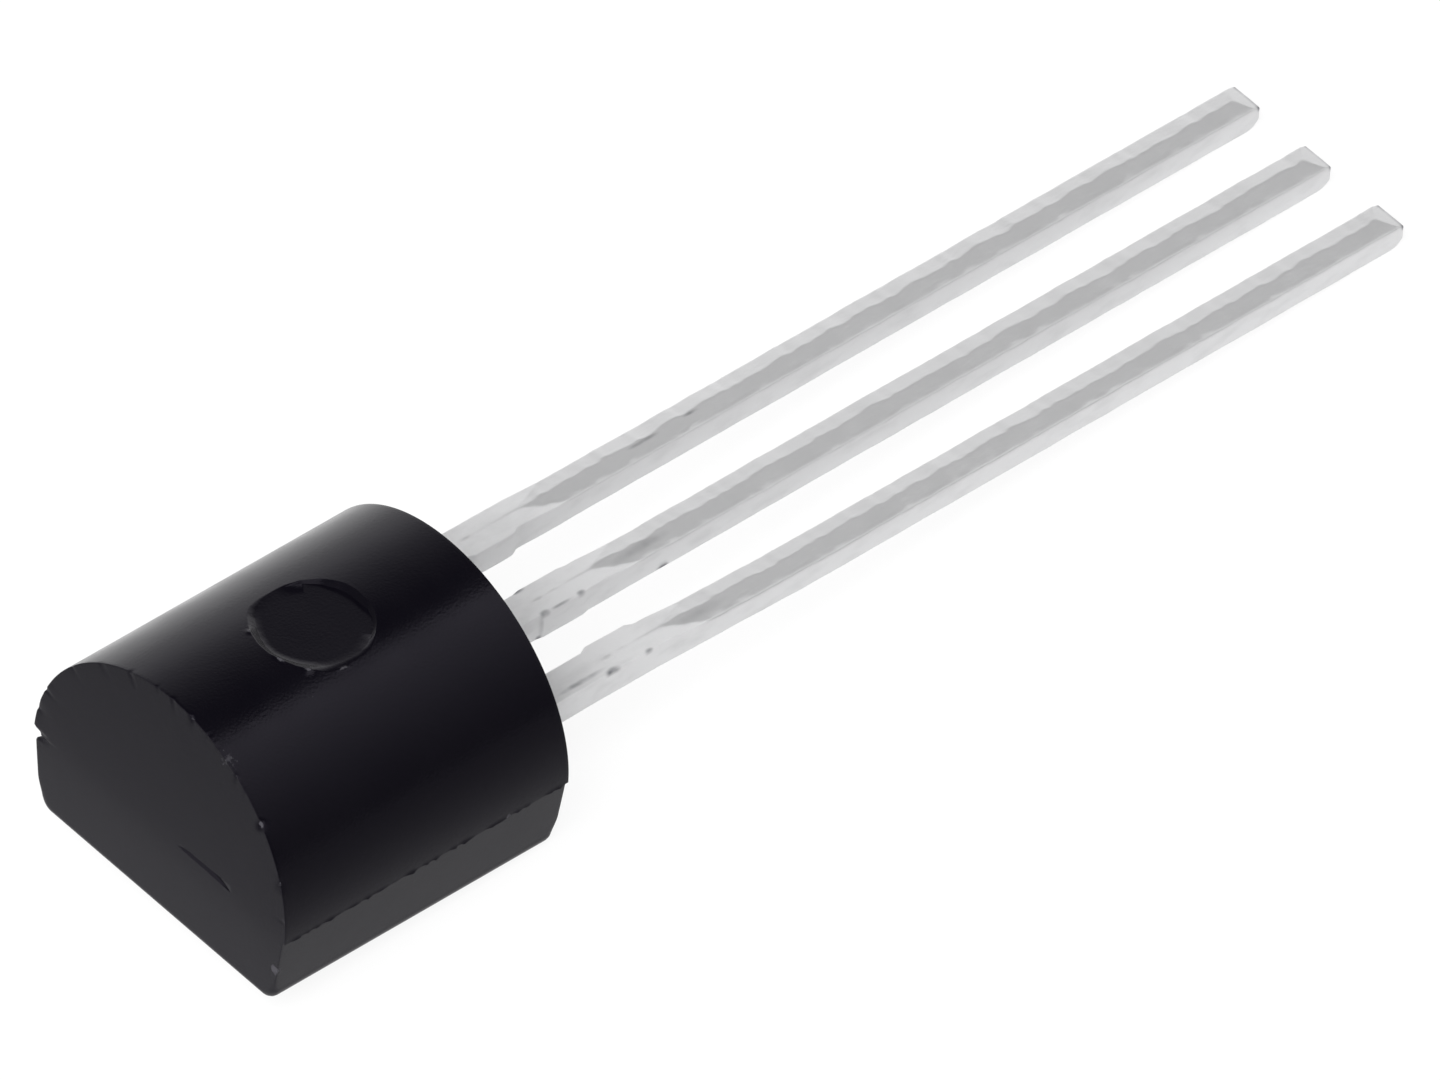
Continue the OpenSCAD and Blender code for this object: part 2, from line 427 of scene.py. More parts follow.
@dataclass
class MouldedCase:
    """The moulded case: a D section lofted from the gate scar, over the barrel, to the lead end.

    What the mould left on it is the pin's mark, the gate scar, the flash on the parting line and the
    burrs round the mark. What handling did is the chips, the nibbled rim and the notch. The pale
    spots are painted on, and one of them is a painted highlight on the barrel.
    """

    case_w: float = 4.45
    case_l: float = CASE_L
    parting_h: float = PARTING_H
    flat_w: float = 4.16
    flat_edge_r: float = 0.22
    mould_step: float = 0.04
    end_draft_deg: float = 1.5
    draft_blend: float = 0.25
    edge_r: float = 0.004
    foot_edge_r: float = 0.10
    foot_blend: tuple[float, float] = (0.50, 0.10)
    lead_end_middle: tuple[float, float] = (0.0, 1.5)
    lead_end_share: float = 0.1
    pin_mark_d: float = 1.5
    pin_mark_depth: float = 0.12
    wall_run: tuple[float, float] = (0.03, 0.12)
    wall_turn_deg: float = 20.0
    wall_contrast: float = 0.9
    rim_ripples: tuple[float, float] = (0.018, 0.0072)
    rim_noises: tuple[tuple[float, int], ...] = ((0.3, 17), (0.09, 19))
    lip_rings: tuple[float, float] = (0.025, 0.010)
    floor_span: tuple[float, float] = (0.74, 0.1)
    gate_l: float = 0.9
    gate_h: float = 0.08
    gate_depth: float = 0.04
    gate_offset: float = 0.8
    gate_lift: float = 0.11
    gate_taper: float = 0.35
    gate_power: int = 8
    gate_ragged: float = 0.16
    gate_noise: tuple[float, int] = (0.07, 11)
    notch_reach: float = 0.22
    notch_width: float = 0.11
    notch_wear: float = 0.7
    nibble_reach: float = 0.06
    nibble_depth: float = 0.03
    nibble_level: float = 0.35
    nibble_noise: tuple[float, int] = (0.09, 5)
    flash_out: float = 0.022
    flash_hang: float = 0.6
    flash_reach: float = 0.03
    flash_wear: float = 0.25
    flash_level: float = -0.15
    flash_stretch: float = 5.0
    flash_noise: tuple[float, int] = (0.07, 7)
    burr_h: float = 0.02
    burr_out: float = 0.004
    burr_reach: float = 0.030
    # Paling of the burrs round the pin's mark: torn flash, whose pale tone also paints the glints on the
    # rim.
    burr_wear_and_glint: float = 1.2
    burr_share: tuple[float, float] = (0.8, 0.4)
    burr_noise: tuple[float, int] = (0.05, 13)
    rim_bits: tuple[tuple[float, float], ...] = ((156, 5), (200, 10), (226, 6), (259, 7))
    chip_ragged: float = 0.6
    chip_noise: tuple[float, int] = (0.05, 3)
    chips: tuple[EdgeChip, ...] = (
        EdgeChip(91, 0.07, 0.03),
        EdgeChip(99, 0.09, 0.04),
        EdgeChip(138, 0.10, 0.05),
    )
    pale_spots: tuple[PaleSpot, ...] = (
        PaleSpot((-CASE_L, -2.08, 0.60), 0.13, 1.0),
        PaleSpot((-0.92, -2.21, PARTING_H), 0.08, 0.9),
        PaleSpot((-2.89, -0.87, 3.17), 0.10, 0.45),
        PaleSpot((-1.90, -0.60, 3.22), 0.16, 0.45),
        # A broad pale patch on the barrel by the gate end: painted highlight.
        PaleSpot((-4.28, -0.98, 3.12), 0.30, 0.42),
    )
    arc_steps: int = 320
    flank_steps: int = 27
    foot_steps: int = 12
    flat_steps: int = 33
    length_steps: int = 100
    face_steps: int = 14
    rim_turns_deg: tuple[float, ...] = (22.5, 45.0, 67.5)
    scar_shares: tuple[float, ...] = (0.15, 0.35, 0.55, 0.75, 0.92)
    mark_columns: int = 48
    mark_rows: int = 24
    slope_rings: int = 8
    slope_power: float = 1.3
    wall_steps: int = 9
    sharp_deg: float = 50.0

    @property
    def case_r(self) -> float:
        """Radius of the round back."""
        return self.case_w / 2

    def outline(self) -> np.ndarray:
        """Draws the D section.

        A half circle above the parting line steps in at it to a straight flank, which runs into a
        quarter circle and then the flat face. The flat half is drawn on one side and mirrored.

        Returns:
            Y and Z of each point, anticlockwise as seen from the leads, starting at +Y.
        """
        p, r, foot_r = self.parting_h, self.case_r, self.flat_edge_r
        foot_y, top_y = self.flat_w / 2, r - self.mould_step
        over = np.radians(np.linspace(0, 180, self.arc_steps + 1))
        back = np.stack([r * np.cos(over), p + r * np.sin(over)], axis=-1)
        ledge = np.array([[-top_y, p]])
        flank = np.linspace([-top_y, p], [-foot_y, foot_r], self.flank_steps + 1)[1:]
        turn = np.radians(np.linspace(180, 270, self.foot_steps + 1))[1:]
        foot = np.stack([foot_r - foot_y + foot_r * np.cos(turn), foot_r + foot_r * np.sin(turn)], axis=-1)
        across = np.linspace(foot_r - foot_y, 0, self.flat_steps + 1)[1:]
        flat = np.stack([across, np.zeros_like(across)], axis=-1)
        half = np.concatenate([ledge, flank, foot, flat])
        other = half[-2::-1] * (-1, 1)
        return np.concatenate([back, half, other])

    def inset(self, ring: np.ndarray, by: float | np.ndarray) -> np.ndarray:
        """Moves an outline inwards, each point along the mean of its two neighbouring normals.

        Args:
            ring: Y and Z of the outline's points.
            by: How far to move them.

        Returns:
            Y and Z of the moved points.
        """
        step = np.roll(ring, -1, axis=0) - ring
        step /= np.linalg.norm(step, axis=1, keepdims=True)
        tangent = step + np.roll(step, 1, axis=0)
        tangent /= np.linalg.norm(tangent, axis=1, keepdims=True)
        return ring - by * np.stack([tangent[:, 1], -tangent[:, 0]], axis=-1)

    def lean(self, z: np.ndarray) -> np.ndarray:
        """Gives how far an end face has leant inwards at a height.

        With h the height from the parting line and w the width over which the two drafts run
        together, it is (sqrt(h^2 + w^2) - w) times tan(draft).

        Args:
            z: Heights above the flat face.

        Returns:
            A distance for each height.
        """
        w = self.draft_blend
        return (np.hypot(z - self.parting_h, w) - w) * math.tan(math.radians(self.end_draft_deg))

    def rim_r(self, ring: np.ndarray) -> np.ndarray:
        """Gives the radius between the end faces and the side at each point of the outline.

        It grows from a crisp edge to a rounder one round the foot, between the two heights of the
        blend, with t the share of that drop, as 3 t^2 - 2 t^3.

        Args:
            ring: Y and Z of the outline's points.

        Returns:
            A radius for each point, in a column.
        """
        high, low = self.foot_blend
        t = np.clip((high - ring[:, 1:]) / (high - low), 0, 1)
        return self.edge_r + (self.foot_edge_r - self.edge_r) * t * t * (3 - 2 * t)

    def gate_ring(self, ring: np.ndarray) -> np.ndarray:
        """Draws the gate scar's rim on the rays from its middle to each point of an outline.

        The rim is the oblong |y / a|^n + |z / b|^n = 1, with n its power, made ragged by noise. Its
        height grows evenly towards -Y, by the taper's share on each side of its middle.

        Args:
            ring: Y and Z of the outline's points.

        Returns:
            Y and Z of the rim's points.
        """
        middle = np.array([-self.gate_offset, self.parting_h + self.gate_lift + self.gate_h / 2])
        ray = ring - middle
        reach = (np.abs(ray) / (self.gate_l / 2, self.gate_h / 2)) ** self.gate_power
        rim = ray / reach.sum(axis=1, keepdims=True) ** (1 / self.gate_power)
        place = np.column_stack([rim, np.zeros(len(rim))])
        rim *= 1 + self.gate_ragged * lattice_noise(place, *self.gate_noise)[:, None]
        rim[:, 1] *= 1 - self.gate_taper * rim[:, 0] / (self.gate_l / 2)
        return middle + rim

    def end_rows(self, ring: np.ndarray, centre: np.ndarray) -> np.ndarray:
        """Lofts an end face from a ring about its middle out to its rounded rim.

        Rings of the face lie between the two outlines, closer together near either one, and the
        rim is a quarter circle in section.

        Args:
            ring: The outline of the section.
            centre: The ring about the face's middle.

        Returns:
            Rows of points whose X is the depth behind the parting line's end.
        """
        edge_r = self.rim_r(ring)
        rim = self.inset(ring, edge_r)
        share = 0.5 - 0.5 * np.cos(np.linspace(0, np.pi, self.face_steps + 1))
        face = centre + (rim - centre) * share[:, None, None]
        rows = [np.concatenate([self.lean(face[..., 1:]), face], axis=-1)]
        for turn in np.radians(self.rim_turns_deg):
            inner = self.inset(ring, edge_r * (1 - math.sin(turn)))
            depth = self.lean(inner[:, 1:]) + edge_r * (1 - math.cos(turn))
            rows.append(np.concatenate([depth, inner], axis=-1)[None])
        return np.concatenate(rows)

    def body_rows(self) -> tuple[np.ndarray, int]:
        """Lofts the whole body, from the floor of the gate scar to the middle of the lead end.

        Returns:
            Rows of points, and the number of rows before the barrel's first one.
        """
        ring = self.outline()
        gate = self.gate_ring(self.inset(ring, self.edge_r))
        edge_r = self.rim_r(ring)[:, 0]
        middle = gate.mean(axis=0)
        near = self.end_rows(ring, gate)
        share = np.array(self.scar_shares)[:, None, None]
        scar = middle + (gate - middle) * share
        depth = (1 - share ** 2) * self.gate_depth
        scar = np.concatenate([self.lean(scar[..., 1:]) + depth, scar], axis=-1)
        near = np.concatenate([scar, near])
        near[..., 0] -= self.case_l
        far_middle = np.array(self.lead_end_middle)
        far = self.end_rows(ring, far_middle + (ring - far_middle) * self.lead_end_share)[::-1]
        far[..., 0] *= -1
        share = np.linspace(0, 1, self.length_steps + 1)[:, None]
        start = self.lean(ring[:, 1]) + edge_r - self.case_l
        end = -self.lean(ring[:, 1]) - edge_r
        x = start + (end - start) * share
        barrel = np.concatenate([x[..., None], np.broadcast_to(ring, (*x.shape, 2))], axis=-1)
        return np.concatenate([near, barrel, far]), len(near)

    def with_pale_spots(self, points: np.ndarray, wear_and_light_mark: np.ndarray) -> np.ndarray:
        """Adds the pale spots to how pale the surface is painted; one of them is a painted highlight.

        Args:
            points: Places on the case.
            wear_and_light_mark: How pale each one is without them.

        Returns:
            The greater of that and each spot's own paling, which falls off smoothly from its middle.
        """
        for spot in self.pale_spots:
            off = np.linalg.norm(points - spot.place, axis=-1)
            wear_and_light_mark = np.maximum(wear_and_light_mark, spot.wear_and_light * falloff(off, spot.reach))
        return wear_and_light_mark

    def break_edges(self, points: np.ndarray) -> tuple[np.ndarray, np.ndarray]:
        """Chips the rim of the end face, notches its corner and leaves flash on the parting line.

        A chip or the flash pushes the points near it, by its depth times a smooth falloff from its
        middle. The rim is nibbled where fine noise runs high, and the notch gets shallower evenly
        from the corner.

        Args:
            points: Rows of points of the body.

        Returns:
            The moved points, and how pale each is painted, with the pale spots, one of them a painted
            highlight.
        """
        p, r = self.parting_h, self.case_r
        x, y, z = np.moveaxis(points, -1, 0)
        end = x + self.case_l
        out = np.stack([np.zeros_like(x), y, z - p], axis=-1)
        out /= np.maximum(np.linalg.norm(out, axis=-1, keepdims=True), 1e-9)
        inward = (np.array([1.0, 0, 0]) - out) / math.sqrt(2)
        ragged = 1 + self.chip_ragged * lattice_noise(points, *self.chip_noise)
        wear_and_light_mark = self.with_pale_spots(points, np.zeros_like(x))
        moved = points.copy()
        for chip in self.chips:
            a = math.radians(chip.angle_deg)
            middle = np.array([self.edge_r / 2 - self.case_l, r * math.cos(a), p + r * math.sin(a)])
            near = falloff(np.linalg.norm(points - middle, axis=-1), chip.width)
            moved += inward * (near * chip.depth * ragged)[..., None]
            wear_and_light_mark = np.maximum(wear_and_light_mark, near)
        rim = falloff(np.abs(end - self.lean(z)), self.nibble_reach)
        rim *= (np.hypot(y, z - p) > r - self.nibble_reach) & (z > p)
        nibble = np.clip(lattice_noise(points, *self.nibble_noise) - self.nibble_level, 0, 1) * rim
        moved += inward * (nibble * self.nibble_depth)[..., None]
        wear_and_light_mark = np.maximum(wear_and_light_mark, nibble)
        across = np.abs(end + (y - r)) / math.sqrt(2)
        notch = np.clip(1 - (across + np.abs(z - p)) / self.notch_width, 0, 1)
        notch *= np.hypot(end, y - r) < self.notch_reach
        moved += np.array([1, -1, 0]) / math.sqrt(2) * (notch * self.notch_reach)[..., None]
        wear_and_light_mark = np.maximum(wear_and_light_mark, self.notch_wear * np.clip(notch * 2, 0, 1))
        lip = falloff(np.hypot(np.abs(y) - r, z - p), self.flash_reach)
        along = points / (1, self.flash_stretch, self.flash_stretch)
        lip *= np.clip(lattice_noise(along, *self.flash_noise) - self.flash_level, 0, 1)
        hang = np.stack([np.zeros_like(x), np.sign(y), np.full_like(x, -self.flash_hang)], axis=-1)
        moved += hang * (self.flash_out * lip)[..., None]
        return moved, np.maximum(wear_and_light_mark, self.flash_wear * lip)

    def pin_mark(self, edge: np.ndarray) -> tuple[np.ndarray, np.ndarray]:
        """Sinks the ejector pin's mark into a block of the barrel.

        Rings run from the block's edge in to the mark's circle, on the rays from its middle, then
        down its wall to the flat floor. Outside the circle they lie on the barrel,
        z = p + sqrt(r^2 - y^2), and inside it on the floor, or on the barrel where that is lower.
        The wall falls evenly over its run, which is short at its steep side towards the leads and
        longer at the gentler side away from them. Two lip rings lie just outside the rim, and the
        floor's rings lie between two shares of its radius. The rim wanders a little, and a burr
        stands up at each of its bits, given by its angle and its width in degrees. The burrs are
        painted pale, which also paints the glints on the rim.

        Args:
            edge: The points round the block's edge.

        Returns:
            Rings of points from the first one inside the edge to the last one before the middle, and
                how pale each is painted: the burrs with their painted glints, and the pale spots.
        """
        centre = np.array([-self.case_l / 2, 0])
        plan = edge[:, :2] - centre
        angle = np.arctan2(plan[:, 1], plan[:, 0])
        ray = np.stack([np.cos(angle), np.sin(angle)], axis=-1)
        rim_r = self.pin_mark_d / 2
        lips = rim_r + np.array(self.lip_rings)
        brink = ray * lips[0]
        share = np.linspace(1, 0, self.slope_rings + 2)[1:-1, None, None] ** self.slope_power
        sloped = brink + (plan - brink) * share
        down = np.linspace(0, 1, self.wall_steps)
        facing = 0.5 - self.wall_contrast * np.cos(angle - math.radians(self.wall_turn_deg))
        steep, easy = self.wall_run
        wall = rim_r - down[:, None] * (steep + (easy - steep) * np.clip(facing, 0, 1))
        floors = rim_r * np.linspace(*self.floor_span, self.wall_steps)
        all_round = np.ones(len(angle))
        radii = np.concatenate([lips[:, None] * all_round, wall, floors[:, None] * all_round])
        circle = np.column_stack([ray * rim_r, np.zeros(len(ray))])
        ripple = sum(height * lattice_noise(circle, *noise)
                     for height, noise in zip(self.rim_ripples, self.rim_noises))
        flat = np.concatenate([sloped, ray * (radii + ripple)[..., None]]) + centre
        sunk = np.concatenate([np.zeros(len(sloped) + len(lips)), down, np.ones(len(floors))])[:, None]
        barrel = self.parting_h + np.sqrt(self.case_r ** 2 - flat[..., 1] ** 2)
        floor = np.minimum(barrel, self.parting_h + self.case_r - self.pin_mark_depth)
        points = np.concatenate([flat, (barrel + (floor - barrel) * sunk)[..., None]], axis=-1)
        bit_at, bit_width = np.radians(np.array(self.rim_bits).T)[..., None]
        away = np.abs(np.angle(np.exp(1j * (angle - bit_at)))) / bit_width
        past_rim = np.linalg.norm(flat - centre, axis=-1) - rim_r
        torn = falloff(away, 1.0).max(axis=0) * falloff(past_rim - self.burr_out, self.burr_reach)
        share, ragged = self.burr_share
        torn *= share + ragged * lattice_noise(points, *self.burr_noise)
        points[..., 2] += self.burr_h * torn
        return points, self.with_pale_spots(points, np.clip(torn * self.burr_wear_and_glint, 0, 1))

    def build(self, placement: Placement, finish: bpy.types.Material) -> bpy.types.Object:
        """Makes the case as one closed surface.

        Args:
            placement: How the part lies.
            finish: The case's material.

        Returns:
            The case.
        """
        rows, before = self.body_rows()
        rows, wear_and_light_mark = self.break_edges(rows)
        count, columns = rows.shape[:2]
        mid_row, mid_column = before + self.length_steps // 2, self.arc_steps // 2
        low_row, high_row = mid_row - self.mark_rows, mid_row + self.mark_rows
        low_col, high_col = mid_column - self.mark_columns, mid_column + self.mark_columns
        index = np.arange(count * columns).reshape(count, columns)
        edge = np.concatenate([
            index[low_row:high_row, high_col],
            index[high_row, high_col:low_col:-1],
            index[high_row:low_row:-1, low_col],
            index[low_row, low_col:high_col],
        ])
        mark, mark_wear_and_light = self.pin_mark(rows.reshape(-1, 3)[edge])
        quads = loft_quads(count, columns)
        keep = np.ones(quads.shape[:2], bool)
        keep[low_row:high_row, low_col:high_col] = False
        first = count * columns
        last_ring = first + (len(mark) - 1) * len(edge) + np.arange(len(edge))
        poles = first + mark.shape[0] * mark.shape[1]
        rings = np.concatenate([edge, first + np.arange(len(edge))])
        join = rings[loft_quads(2, len(edge))]
        middles = [rows[0].mean(axis=0), rows[-1].mean(axis=0), mark[-1].mean(axis=0)]
        points = np.concatenate([rows.reshape(-1, 3), mark.reshape(-1, 3), middles])
        faces = [
            quads[keep],
            join.reshape(-1, 4),
            loft_quads(len(mark), len(edge), first).reshape(-1, 4),
            fan(last_ring, poles + 2),
            fan(index[0][::-1], poles),
            fan(index[-1], poles + 1),
        ]
        wear_and_light = np.concatenate([wear_and_light_mark.ravel(), mark_wear_and_light.ravel(), np.zeros(3)])
        piece = mesh_piece("epoxy_case", placement.to_frame(points), faces, finish, {"wear_and_light_mark": wear_and_light},
                           self.sharp_deg)
        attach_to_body(piece, "root")
        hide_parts("moulded_case")
        return piece


class LeadPlace(Enum):
    """Which lead it is, by its side of the case: 1 at +Y, 0 in the middle and -1 at -Y."""

    FIRST = 1
    CENTRE = 0
    THIRD = -1


@dataclass(frozen=True)
class NickAndShade:
    """A small dark mark on a lead, at a distance from the case: bruises, and streaks of painted shade.

    It lies at a share of the half width across the lead, from -1 at its -Y edge to 1, and at a share
    of the strip's thickness, from 0 at its underside to 1.
    """

    x: float
    length: float
    width: float
    depth: float
    dark: float
    across: float = -1.0
    height: float = 1.0


@dataclass
class Lead:
    """One leg of the stamped leadframe, with its bonding post or die pad inside the case."""

    place: LeadPlace
    nicks_and_shade: tuple[NickAndShade, ...] = ()
    pitch: float = 1.27
    parting_h: float = PARTING_H
    case_l: float = CASE_L
    length: float = 13.7
    width: float = 0.46
    thickness: float = 0.38
    corner_r: float = 0.018
    tip_edge_r: float = 0.015
    coin_start: float = 2.2
    coin_ramp: float = 0.6
    coin_drop: float = 0.05
    hip_l: float = 0.26
    hip_drop: float = 0.08
    tip_r: float = 0.2
    stub_start: float = 1.3
    stub_l: float = 0.7
    stub_ramp: float = 0.10
    stub_out: float = 0.05
    centre_stub_out: float = 0.02
    pad_w: float = 1.9
    pad_l: float = 1.6
    pad_corner_r: float = 0.25
    post_w: float = 0.9
    post_l: float = 0.7
    frame_gap: float = 0.3
    pad_cover: float = 0.65
    lock_d: float = 0.2
    lock_depth: float = 0.6
    ridge_wander: float = 0.020
    ridge_noises: tuple[tuple[float, int], ...] = ((0.35, 41), (0.10, 43))
    edge_wander: float = 0.007
    edge_reach: float = 0.07
    edge_noise: tuple[float, int] = (0.09, 55)
    ramp_blend: float = 0.010
    coin_soft: float = 0.15
    coin_ragged: float = 0.8
    coin_noise: tuple[float, int] = (0.12, 45)
    ripple: float = 0.004
    ripple_noises: tuple[tuple[float, int], ...] = ((0.3, 21), (0.25, 31))
    tip_bruise: float = 0.6
    tip_reach: float = 0.07
    tip_corner_reach: float = 0.10
    tip_noise: tuple[float, int] = (0.06, 53)
    dark_ragged: float = 0.6
    dark_noise: tuple[float, int] = (0.08, 51)
    bow: float = 0.06
    bow_reach: float = 3.5
    station_step: float = 0.04
    step_gap: float = 0.003
    step_reach: float = 0.03
    side_steps: tuple[int, ...] = (6, 30, 6, 10)
    corner_points: int = 5
    cap_turns_deg: tuple[float, ...] = (30.0, 60.0, 90.0)
    sharp_deg: float = 35.0

    @property
    def top(self) -> float:
        """Height of the strip's top face."""
        return self.parting_h + self.thickness

    def plate(self) -> tuple[float, float, float, float]:
        """Gives the plate inside the case, which is the die pad or a bonding post.

        Returns:
            Where it starts and ends, its width and its corner radius.
        """
        pad_far = self.pad_cover - self.case_l
        pad_near = pad_far + self.pad_l
        if self.place is LeadPlace.CENTRE:
            return pad_far, pad_near, self.pad_w, self.pad_corner_r
        post_far = pad_near + self.frame_gap
        return post_far, post_far + self.post_l, self.post_w, self.pad_corner_r / 2

    def stations(self) -> np.ndarray:
        """Chooses where along the lead its section is drawn: evenly, and closer round each feature.

        Each span is its start, its end and its number of sections.

        Returns:
            Distances from the case, in rising order.
        """
        far, near, _, corner = self.plate()
        tip = self.length - self.tip_edge_r
        lock_r = self.lock_d / 2
        spans = [
            (far, far + corner, 9),
            (near - corner, near - self.step_gap, 9),
            (-self.lock_depth - lock_r, -self.lock_depth + lock_r, 13),
            (self.length - self.tip_r, tip, 12),
        ]
        steps = (near, self.stub_start, self.stub_start + self.stub_l)
        spans += [(step - self.step_reach, step + self.step_reach, 7) for step in steps]
        spans += [(dark_mark.x - dark_mark.length, dark_mark.x + dark_mark.length, 13) for dark_mark in self.nicks_and_shade]
        at = [np.arange(far, tip, self.station_step), *(np.linspace(*span) for span in spans), [tip]]
        at = np.unique(np.concatenate(at).round(4))
        return at[(at >= far) & (at <= tip)]

    def edges(self, x: np.ndarray) -> tuple[np.ndarray, np.ndarray]:
        """Gives the lead's two long edges.

        The half width is the strip's, or the plate's where that is greater, whose round corners
        follow w - c + sqrt(c^2 - (c - d)^2) at the distance d from its end. The lock notches take
        a half circle out of it, and the stubs of the tie bar add to it.

        Args:
            x: Distances from the case.

        Returns:
            Y of the edge towards -Y and of the edge towards +Y, from the lead's own middle.
        """
        far, near, plate_w, corner = self.plate()
        d = np.minimum(np.minimum(x - far, near - x), corner)
        round_in = corner - np.sqrt(np.maximum(corner ** 2 - (corner - d) ** 2, 0))
        plate = np.where(d >= 0, plate_w / 2 - round_in, 0)
        strip = np.where(x > near - corner, self.width / 2, 0)
        lock = np.sqrt(np.maximum((self.lock_d / 2) ** 2 - (x + self.lock_depth) ** 2, 0))
        half = np.maximum(plate, strip) - lock
        inside = np.minimum(x - self.stub_start, self.stub_start + self.stub_l - x)
        stub = np.clip(0.5 + inside / self.stub_ramp, 0, 1)
        side = self.place.value
        low_out, high_out = (
            max(0, way) * self.stub_out if side else self.centre_stub_out for way in (side, -side)
        )
        return -half - stub * low_out, half + stub * high_out

    def roof(self, x: np.ndarray, y: np.ndarray) -> np.ndarray:
        """Gives the height of the lead's top.

        It is the strip's top face, pressed down beyond the coin's start to whichever is higher of the
        ridged roof, which falls by the drop over the half width, and the ramp, which falls by the
        drop over its length. With a and b the two falls and w the blend's width, the smaller one
        is taken as (a + b - sqrt((a - b)^2 + w^2)) / 2. The ridge wanders a little to either side
        of the middle. The hip at the tip then falls by its own drop over its own length.

        Args:
            x: Distances from the case.
            y: Distances from the lead's middle.

        Returns:
            Heights above the flat face.
        """
        place = np.stack(np.broadcast_arrays(x, 0.0, self.place.value), axis=-1)
        wander = self.ridge_wander * sum(lattice_noise(place, *noise) for noise in self.ridge_noises)
        ridge = self.coin_drop * np.abs(y - wander) / (self.width / 2)
        ramp = self.coin_drop * np.maximum(x - self.coin_start, 0) / self.coin_ramp
        hip = self.hip_drop * np.maximum(x - self.length + self.hip_l, 0) / self.hip_l
        lower = (ridge + ramp - np.sqrt((ridge - ramp) ** 2 + self.ramp_blend ** 2)) / 2
        return self.top - np.maximum(np.maximum(lower, 0), hip)

    def section(self) -> tuple[np.ndarray, np.ndarray]:
        """Draws the section of a lead as a rounded rectangle of unit sides.

        Returns:
            For each point, its place in the inner rectangle, from 0 to 1 in Y and Z, and its
            offset from there as a share of the corner radius. It runs anticlockwise from the lower
            corner at +Y.
        """
        corners = np.array([(1, 0), (1, 1), (0, 1), (0, 0)])
        after = np.roll(corners, -1, axis=0)
        starts = (-90, 0, 90, 180)
        inner, offset = [], []
        for here, there, start, steps in zip(corners, after, starts, self.side_steps):
            turn = np.radians(np.linspace(start, start + 90, self.corner_points))
            arc = np.stack([np.cos(turn), np.sin(turn)], axis=-1)
            share = np.linspace(0, 1, steps + 1)[1:-1, None]
            inner += [np.tile(here, (len(arc), 1)), here + (there - here) * share]
            offset += [arc, np.tile(arc[-1], (steps - 1, 1))]
        return np.concatenate(inner), np.concatenate(offset)

    def rows(self) -> np.ndarray:
        """Lofts the lead along X.

        Each section stretches between the two edges, the underside and the roof. The underside
        rises at the tip on a quarter circle, and each end is rounded by shrinking the last
        sections by 1 - cos a while they advance by sin a.

        Returns:
            Rows of points, with Y from the lead's own middle.
        """
        x = self.stations()
        low, high = self.edges(x)
        past = np.maximum(x - self.length + self.tip_r, 0)
        under = self.parting_h + self.tip_r - np.sqrt(self.tip_r ** 2 - past ** 2)
        inner, offset = self.section()
        c = self.corner_r
        y = (low + c)[:, None] + inner[:, 0] * (high - low - 2 * c)[:, None] + offset[:, 0] * c
        roof = self.roof(x[:, None], y)
        z = (under + c)[:, None] + inner[:, 1] * (roof - under[:, None] - 2 * c) + offset[:, 1] * c
        rows = np.stack([np.broadcast_to(x[:, None], y.shape), y, z], axis=-1)
        return np.concatenate([self.cap(rows[0], -1), rows, self.cap(rows[-1], 1)])

    def cap(self, ring: np.ndarray, way: int) -> np.ndarray:
        """Rounds off an end of the loft.

        Args:
            ring: The points of its last section.
            way: -1 for the end towards -X and 1 for the one towards +X.

        Returns:
            The rings past that section, in order along +X.
        """
        a = np.radians(self.cap_turns_deg)[:, None]
        middle = (ring.min(axis=0) + ring.max(axis=0)) / 2
        half = (ring.max(axis=0) - ring.min(axis=0))[1:] / 2
        shrink = 1 - self.tip_edge_r * (1 - np.cos(a)) / half
        yz = middle[1:] + (ring[:, 1:] - middle[1:]) * shrink[:, None]
        x = ring[0, 0] + way * self.tip_edge_r * np.sin(a)
        made = np.concatenate([np.broadcast_to(x[..., None], (*yz.shape[:2], 1)), yz], axis=-1)
        return made[::way]

    def pressed(self, points: np.ndarray) -> np.ndarray:
        """Tells how far the coining die has pressed the top: all of it on the roof's two slopes.

        Args:
            points: Rows of points, with Y from the lead's own middle.

        Returns:
            A share for each point, which rises over a soft, ragged border between ramp and slopes.
        """
        x, y, z = np.moveaxis(points, -1, 0)
        ramp = np.maximum(x - self.coin_start, 0) / self.coin_ramp
        ragged = 0.5 + self.coin_ragged * lattice_noise(points, *self.coin_noise)
        slope = (ramp - np.abs(y) / (self.width / 2)) / self.coin_soft + ragged
        return np.clip(slope, 0, 1) * (z > self.top - self.hip_drop - self.corner_r / 2)

